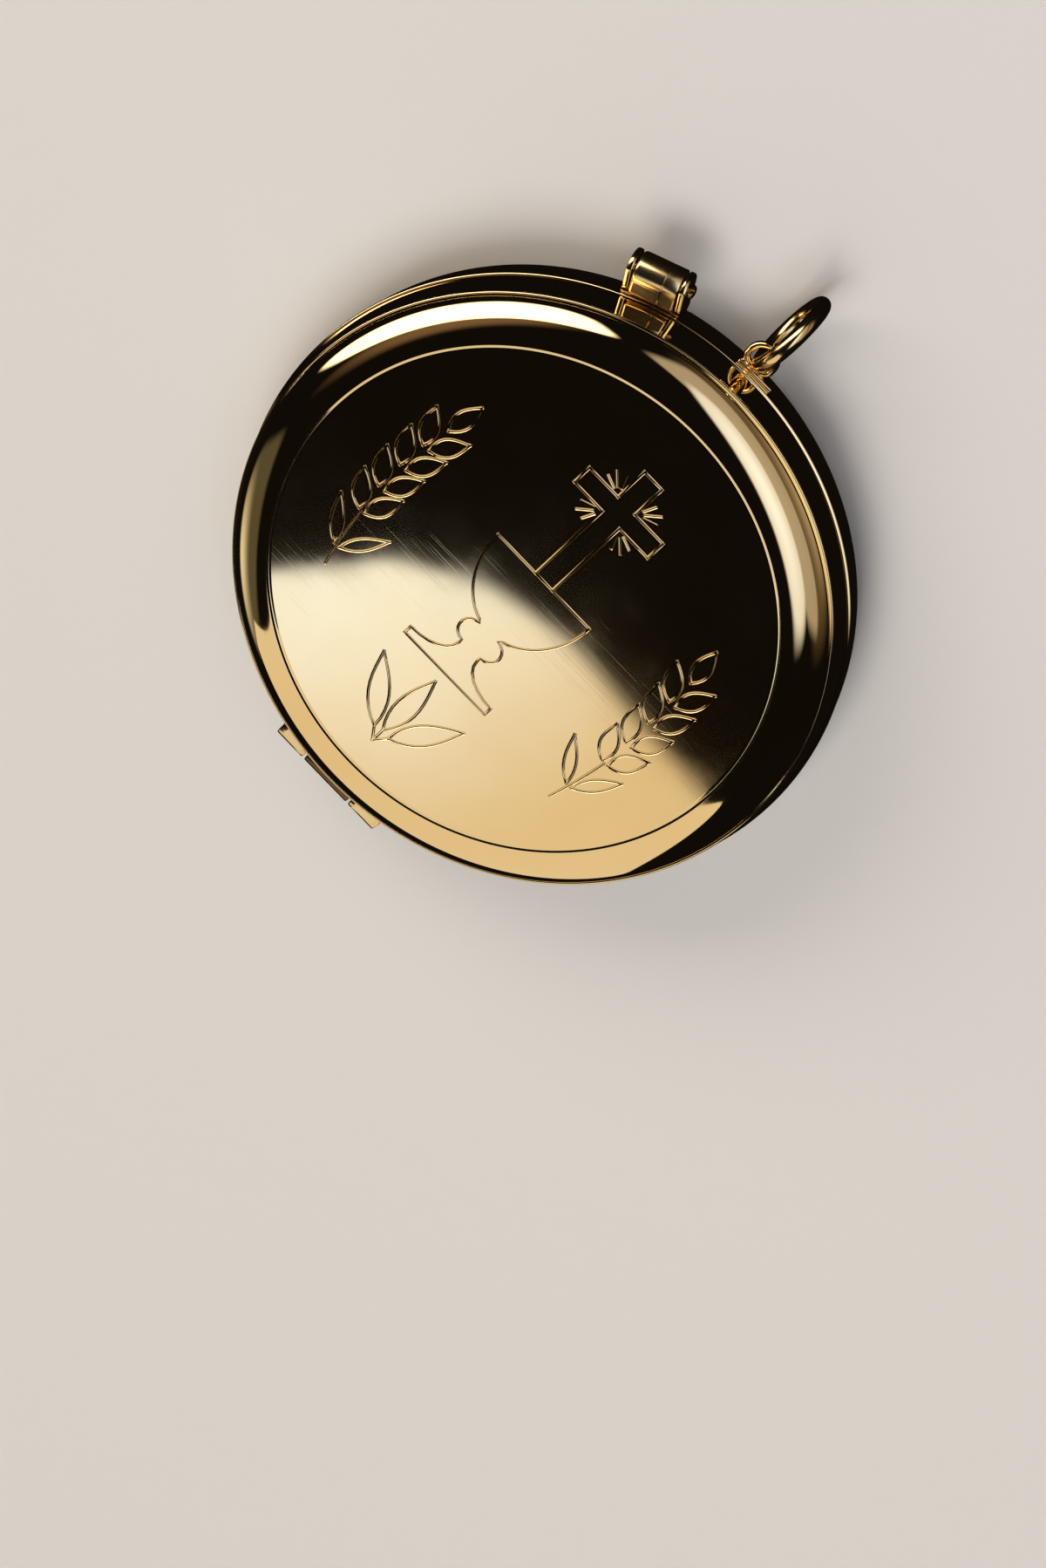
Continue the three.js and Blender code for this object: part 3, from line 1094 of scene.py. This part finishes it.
def scratches(tree, place, grain, turn_by, length_scale, width_scale, threshold):
    mapping = add_node(tree, "ShaderNodeMapping", Rotation=(0, 0, radians(grain + turn_by)),
                       Scale=(length_scale, width_scale, width_scale))
    tree.links.new(place, mapping.inputs["Vector"])
    lines = noise(tree, mapping.outputs["Vector"], 1, 2)
    return remap(tree, lines, (threshold, threshold + scratch_edge), (0, 1))


def gold(name, color, roughness, ripple, ripple_scale, scratch, grain=0):
    material = new_material(name)
    tree = material.node_tree
    shader = tree.nodes["Principled BSDF"]
    shader.inputs["Metallic"].default_value = 1
    place = tree.nodes.new("ShaderNodeTexCoord").outputs["Object"]
    crossed = combine(tree, "MAXIMUM", *[scratches(tree, place, grain, **scratch_set)
                                         for scratch_set in scratch_sets])
    some = combine(tree, "MULTIPLY", crossed, noise(tree, place, patch_scale, 2))
    wavy = bump(tree, noise(tree, place, ripple_scale, 1), ripple)
    tree.links.new(smeared(tree, place, roughness), shader.inputs["Roughness"])
    tree.links.new(tinted(tree, place, color), shader.inputs["Base Color"])
    tree.links.new(bump(tree, some, scratch, below=wavy), shader.inputs["Normal"])
    return material


# %% [markdown]
# The finishes.
# Each has its colour and roughness, the depth in metres and the scale of the metal's ripples, and
# the depth of its scratches in metres. The latch's scratches are turned to lie with its barrel.

# %% List the finishes
finishes = {
    "lid_gold": gold("polished_lid", (0.95, 0.74, 0.41), 0.03, 1.8e-5, 75, 1.6e-7),
    "case_gold": gold("polished_case", (0.94, 0.73, 0.40), 0.05, 1.2e-5, 110, 3e-7),
    "inner_gold": gold("satin_inside", (0.92, 0.72, 0.40), 0.24, 1.0e-5, 150, 8e-7),
    "fitting_gold": gold("plated_fittings", (0.92, 0.70, 0.36), 0.13, 1.2e-5, 700, 4e-7),
    "wire_gold": gold("drawn_wire", (0.94, 0.72, 0.38), 0.14, 1.0e-5, 600, 4e-7),
    "latch_gold": gold("polished_latch", (0.94, 0.72, 0.38), 0.2, 0.8e-5, 500, 8e-7,
                       grain=-degrees(latch_turn)),
    "pin_gold": gold("cut_pins", (0.88, 0.68, 0.36), 0.16, 0.8e-5, 900, 8e-7),
}
# A dark brown gold for the hinge's middle tube: painted shade, not a finish of its own.
painted_shade_gold = gold("painted_shade_knuckle", (0.16, 0.10, 0.05), 0.22, 1.0e-5, 900, 8e-7)
print("finishes:", sorted(finishes))

# %% [markdown]
# Putting the pieces on their bodies.
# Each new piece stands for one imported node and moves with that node's body, so one table says
# it all: the piece, the node, the body and the finish. Edges sharper than the given angle stay
# crisp, and everything else is shaded smooth.

# %% Dress the frame
pieces = [
    (lid, "lid_shell", "lid", "lid_gold"),
    (base, "base_shell", "case", "case_gold"),
    (collar, "inner_collar", "case", "inner_gold"),
    (base_bearer, "hinge_bearer_base", "case", "fitting_gold"),
    (lid_bearer, "hinge_bearer_lid", "lid", "fitting_gold"),
    (knuckles["left"], "hinge_knuckle_left", "case", "fitting_gold"),
    (knuckles["middle"], "hinge_knuckle_middle", "lid", "fitting_gold"),
    (knuckles["right"], "hinge_knuckle_right", "case", "fitting_gold"),
    (hinge_pin, "hinge_pin", "case", "pin_gold"),
    (pad, "bail_plate", "case", "fitting_gold"),
    (eye, "bail_eye", "case", "wire_gold"),
    (ring, "bail_ring", "ring", "wire_gold"),
    (bracket, "latch_bracket", "case", "fitting_gold"),
    (lever, "latch_lever", "latch", "latch_gold"),
    (rivet, "latch_pin", "case", "pin_gold"),
]
for piece, node, body, slot in pieces:
    pick(piece)
    bpy.ops.object.shade_smooth_by_angle(angle=radians(38))
    modify(piece, "WEIGHTED_NORMAL", keep_sharp=True)
    piece.data.materials.clear()
    # The middle tube takes the dark painted-shade gold in place of its listed finish.
    piece.data.materials.append(painted_shade_gold if piece == knuckles["middle"] else finishes[slot])
    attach(piece, body)
    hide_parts(node)
print("triangles in all:", sum(triangles(piece) for piece, *rest in pieces))

# %% [markdown]
# The floor.
# A plain pale surface, slightly glossy so that the case stands on it and doesn't float. The case
# was photographed among dark things, and its walls, ring and latch mirror that darkness. So the
# floor doesn't show in reflections, and it has a wide lamp of its own, which they don't show
# either.

# %% Lay the floor
floor_size = 8
floor_color = (0.80, 0.78, 0.75, 1)
floor_roughness = 0.45
floor_lamp_place = (0.3, -0.5, 1.6)
floor_lamp_width = 1.1
floor_lamp_watts = 15
floor_lamp_color = (1, 0.97, 0.93)


def pale_floor():
    clear_selection()
    bpy.ops.mesh.primitive_plane_add(size=floor_size)
    floor = bpy.context.object
    floor.name = "floor"
    material = new_material("pale_floor")
    shader = material.node_tree.nodes["Principled BSDF"]
    shader.inputs["Base Color"].default_value = floor_color
    shader.inputs["Roughness"].default_value = floor_roughness
    floor.data.materials.append(material)
    floor.visible_glossy = False


def floor_lamp():
    clear_selection()
    bpy.ops.object.light_add(type="AREA", location=floor_lamp_place)
    lamp = bpy.context.object
    lamp.name = "floor_lamp"
    lamp.data.shape = "DISK"
    lamp.data.size = floor_lamp_width
    lamp.data.energy = floor_lamp_watts
    lamp.data.color = floor_lamp_color
    lamp.rotation_euler = lamp.location.to_track_quat("Z", "Y").to_euler()
    lamp.visible_glossy = False


pale_floor()
floor_lamp()

# %% [markdown]
# Light.
# A mirror shows its lights, so the softboxes are placed by what the lid shows. One large warm
# box stands behind the hinge and fills the lower part of the lid's face. A second hangs over
# the ring's side and draws the bright band on the border, with a wide dim veil behind it, and a
# third stands at the latch's side. A dim fill hangs farther back on each of those two sides, and
# a narrow box beside the first stands in for a window. The room around them is dark, and that is
# what the upper part of the face reflects. Each box is a sheet of cloth, brightest where its lamp
# is and thinning out to nothing at its rounded edge, so that boxes can hang one behind another.


# %% Weave the glowing cloth
# How far out a point of the cloth lies, from 0 in the middle to 1 on the rounded edge.
def cloth_reach(tree, split, squareness):
    shares = []
    for axis in ("X", "Y"):
        doubled = combine(tree, "MULTIPLY", split.outputs[axis], 2.0)
        away = combine(tree, "ABSOLUTE", combine(tree, "SUBTRACT", doubled, 1.0), 0.0)
        shares.append(combine(tree, "POWER", away, float(squareness)))
    return combine(tree, "POWER", combine(tree, "ADD", *shares), 1 / squareness)


def lamp_distance(tree, split, place):
    shares = []
    for axis, middle in zip(("X", "Y"), place):
        away = combine(tree, "SUBTRACT", split.outputs[axis], float(middle))
        shares.append(combine(tree, "MULTIPLY", away, away))
    return combine(tree, "POWER", combine(tree, "ADD", *shares), 0.5)


def glow(name, cloth, lamp, squareness, fade, lamp_place=(0.5, 0.5), lamp_reach=0.5):
    material = new_material(name)
    tree = material.node_tree
    tree.nodes.remove(tree.nodes["Principled BSDF"])
    light = tree.nodes.new("ShaderNodeEmission")
    split = tree.nodes.new("ShaderNodeSeparateXYZ")
    tree.links.new(tree.nodes.new("ShaderNodeTexCoord").outputs["UV"], split.inputs["Vector"])
    mix = tree.nodes.new("ShaderNodeMix")
    mix.data_type = "RGBA"
    mix.inputs["A"].default_value = (*cloth, 1)
    mix.inputs["B"].default_value = (*lamp, 1)
    away = lamp_distance(tree, split, lamp_place)
    near_lamp = remap(tree, away, (0, lamp_reach), (1, 0), "SMOOTHSTEP")
    tree.links.new(near_lamp, mix.inputs["Factor"])
    tree.links.new(mix.outputs["Result"], light.inputs["Color"])
    reach = cloth_reach(tree, split, squareness)
    inside = remap(tree, reach, (1 - fade, 1), (1, 0), "SMOOTHSTEP")
    woven = tree.nodes.new("ShaderNodeMixShader")
    tree.links.new(inside, woven.inputs["Fac"])
    tree.links.new(tree.nodes.new("ShaderNodeBsdfTransparent").outputs["BSDF"], woven.inputs[1])
    tree.links.new(light.outputs["Emission"], woven.inputs[2])
    tree.links.new(woven.outputs["Shader"], tree.nodes["Material Output"].inputs["Surface"])
    return material


# %% [markdown]
# Hanging the boxes.
# A box's four corners are directions from the case, in degrees: an azimuth from +Y towards +X,
# and an angle from straight up. Its cloth and its lamp each have a colour, which can be brighter
# than 1. The lamp's place and reach are shares of the cloth, which has rounder corners the lower
# its squareness, and fades over the given share of its width.

# %% Hang the softboxes
front_row, middle_row, back_row = 0.9, 1.1, 1.3
cloth_cuts = 24


def towards(azimuth, from_zenith):
    a, z = radians(azimuth), radians(from_zenith)
    return Vector((sin(z) * sin(a), sin(z) * cos(a), cos(z)))


def softbox(name, distance, corners, **look):
    directions = [towards(*corner) for corner in corners]
    facing = sum(directions, Vector()).normalized()
    clear_selection()
    bpy.ops.mesh.primitive_plane_add(size=1)
    box = bpy.context.object
    box.name = name
    for vertex, direction in zip(box.data.vertices, directions):
        vertex.co = direction * (distance / direction.dot(facing))
    bpy.ops.object.mode_set(mode="EDIT")
    bpy.ops.mesh.subdivide(number_cuts=cloth_cuts)
    bpy.ops.object.mode_set(mode="OBJECT")
    box.data.materials.append(glow(name, **look))
    box.visible_camera = False


softbox("key_box", front_row,
        [(200.0, 85.7), (140.2, 104.9), (180.5, 27.0), (124.8, 48.5)],
        cloth=(0.80, 0.71, 0.57), lamp=(1.05, 1.22, 1.6), squareness=9, fade=0.015,
        lamp_place=(0.04, 0.96), lamp_reach=0.15)
softbox("ring_side_box", front_row, [(-20, 46), (120, 26), (4, 50), (80, 50)],
        cloth=(0.85, 0.90, 1.05), lamp=(1.1, 1.25, 1.6), squareness=2.8, fade=0.26,
        lamp_place=(0.52, 0.45))
softbox("ring_side_veil", middle_row, [(-34, 46), (78, 42), (-14, 70), (74, 68)],
        cloth=(0.42, 0.38, 0.34), lamp=(0.48, 0.43, 0.38), squareness=5, fade=0.2)
softbox("ring_side_fill", back_row, [(-17.6, 88.8), (74.5, 90.4), (-26.7, 52.1), (87.6, 50.5)],
        cloth=(0.14, 0.10, 0.06), lamp=(0.4, 0.33, 0.25), squareness=2.5, fade=0.6,
        lamp_place=(0.55, 0.25), lamp_reach=0.3)
softbox("latch_side_box", front_row, [(-112, 55), (-31, 45), (-118, 86), (-42, 72)],
        cloth=(2.8, 2.5, 2.2), lamp=(3.4, 3.2, 3.0), squareness=3.5, fade=0.16)
softbox("latch_side_fill", back_row, [(-130, 36), (-42, 38), (-128, 66), (-42, 64)],
        cloth=(0.12, 0.08, 0.045), lamp=(0.2, 0.13, 0.08), squareness=3, fade=0.6)
softbox("window_box", middle_row, [(228, 94), (190, 99), (230, 58), (198, 46)],
        cloth=(0.10, 0.09, 0.06), lamp=(0.8, 0.75, 0.62), squareness=4, fade=0.25,
        lamp_place=(0.55, 0.18), lamp_reach=0.45)

room_color = (0.0055, 0.0045, 0.004, 1)
world = bpy.data.worlds.new("dark_room")
world.use_nodes = True
background = world.node_tree.nodes["Background"]
background.inputs["Color"].default_value = room_color
background.inputs["Strength"].default_value = 1
bpy.context.scene.world = world

# %% [markdown]
# The camera.
# The photograph was taken from above the ring's side, with the case turned in the picture. The
# place, the line of sight and the picture's sideways direction are all that a camera needs. A
# lens of 100 mm on a 36 mm sensor, held upright, gives the photograph's perspective.

# %% Place the camera
sensor_width = 36
focal_length = 100.06
camera_reach = (0.01, 20)


# The sideways direction is squared to the line of sight before it is used.
def photo_camera():
    place = Vector((-14.68, 171.68, 328.48)) * MM
    sight = Vector((0.0709, -0.4994, -0.8635)).normalized()
    sideways = Vector((0.6928, 0.6475, -0.3175))
    sideways = (sideways - sight * sideways.dot(sight)).normalized()
    upwards = sideways.cross(sight)
    data = bpy.data.cameras.new("photo_camera")
    data.sensor_width = sensor_width
    data.lens = focal_length
    data.clip_start, data.clip_end = camera_reach
    camera = bpy.data.objects.new("photo_camera", data)
    bpy.context.scene.collection.objects.link(camera)
    turned = Matrix((sideways, upwards, -sight)).transposed().to_4x4()
    camera.matrix_world = Matrix.Translation(place) @ turned
    bpy.context.scene.camera = camera


photo_camera()
bpy.context.scene.view_settings.view_transform = "Standard"
